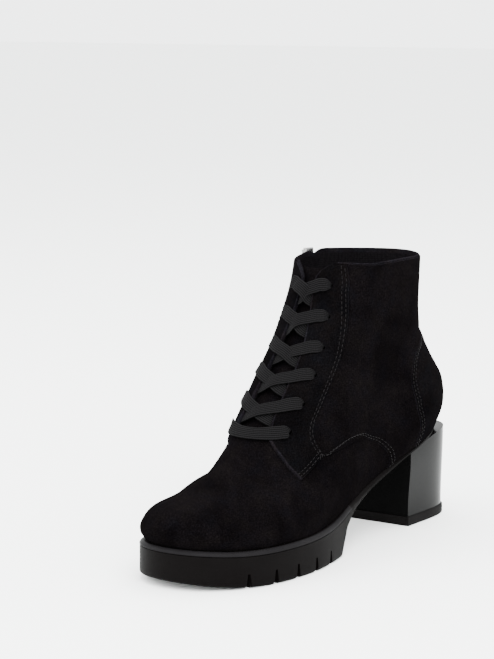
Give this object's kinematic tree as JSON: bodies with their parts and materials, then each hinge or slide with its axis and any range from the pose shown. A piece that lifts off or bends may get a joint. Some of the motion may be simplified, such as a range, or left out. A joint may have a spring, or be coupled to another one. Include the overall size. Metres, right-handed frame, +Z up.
{
  "type": "lace up ankle boot",
  "caption": "Women's suede lace up ankle boot with a glossy block heel, a slotted rubber platform sole, an inner side zip and a flat laced throat.",
  "frame": {"origin": "middle of the heel's flat floor face", "axes": "+X towards the toe, +Y towards the outer side of this left boot, +Z up; the floor is z = 0"},
  "size_m": [0.2514, 0.0913, 0.1685],
  "materials": {
    "suede_black": "brushed nap, near black",
    "suede_trim": "brushed nap, near black",
    "textile_lining": "matt",
    "leather_sock": "smooth, matt",
    "moulded_rubber": "satin",
    "lacquered_heel": "glossy lacquer",
    "top_piece_rubber": "matt",
    "woven_lace": "ribbed weave, charcoal",
    "zip_metal": "bright",
    "zip_tape_cloth": "woven"
  },
  "bodies": {
    "boot": {"upper": "suede_black", "facing_outer": "suede_trim", "facing_inner": "suede_trim", "counter": "suede_trim", "tongue": "textile_lining", "insole": "leather_sock", "outsole": "moulded_rubber", "heel": "lacquered_heel", "heel_tip": "top_piece_rubber", "lace_bar": "woven_lace", "lace_crossing_2": "woven_lace", "lace_crossing_3": "woven_lace", "lace_crossing_4": "woven_lace", "lace_crossing_5": "woven_lace", "lace_crossing_6": "woven_lace", "zip_tape": "zip_tape_cloth", "zip_slider": "zip_metal"},
    "zip_pull": {"zip_pull": "zip_metal"}
  },
  "joints": [
    {"name": "pull_swing", "type": "hinge", "parent": "boot", "child": "zip_pull", "pos_m": [0.03535, -0.04183, 0.1626], "axis": [-0.9981, -0.0412, -0.0457], "range_deg": [0, 165]}
  ]
}
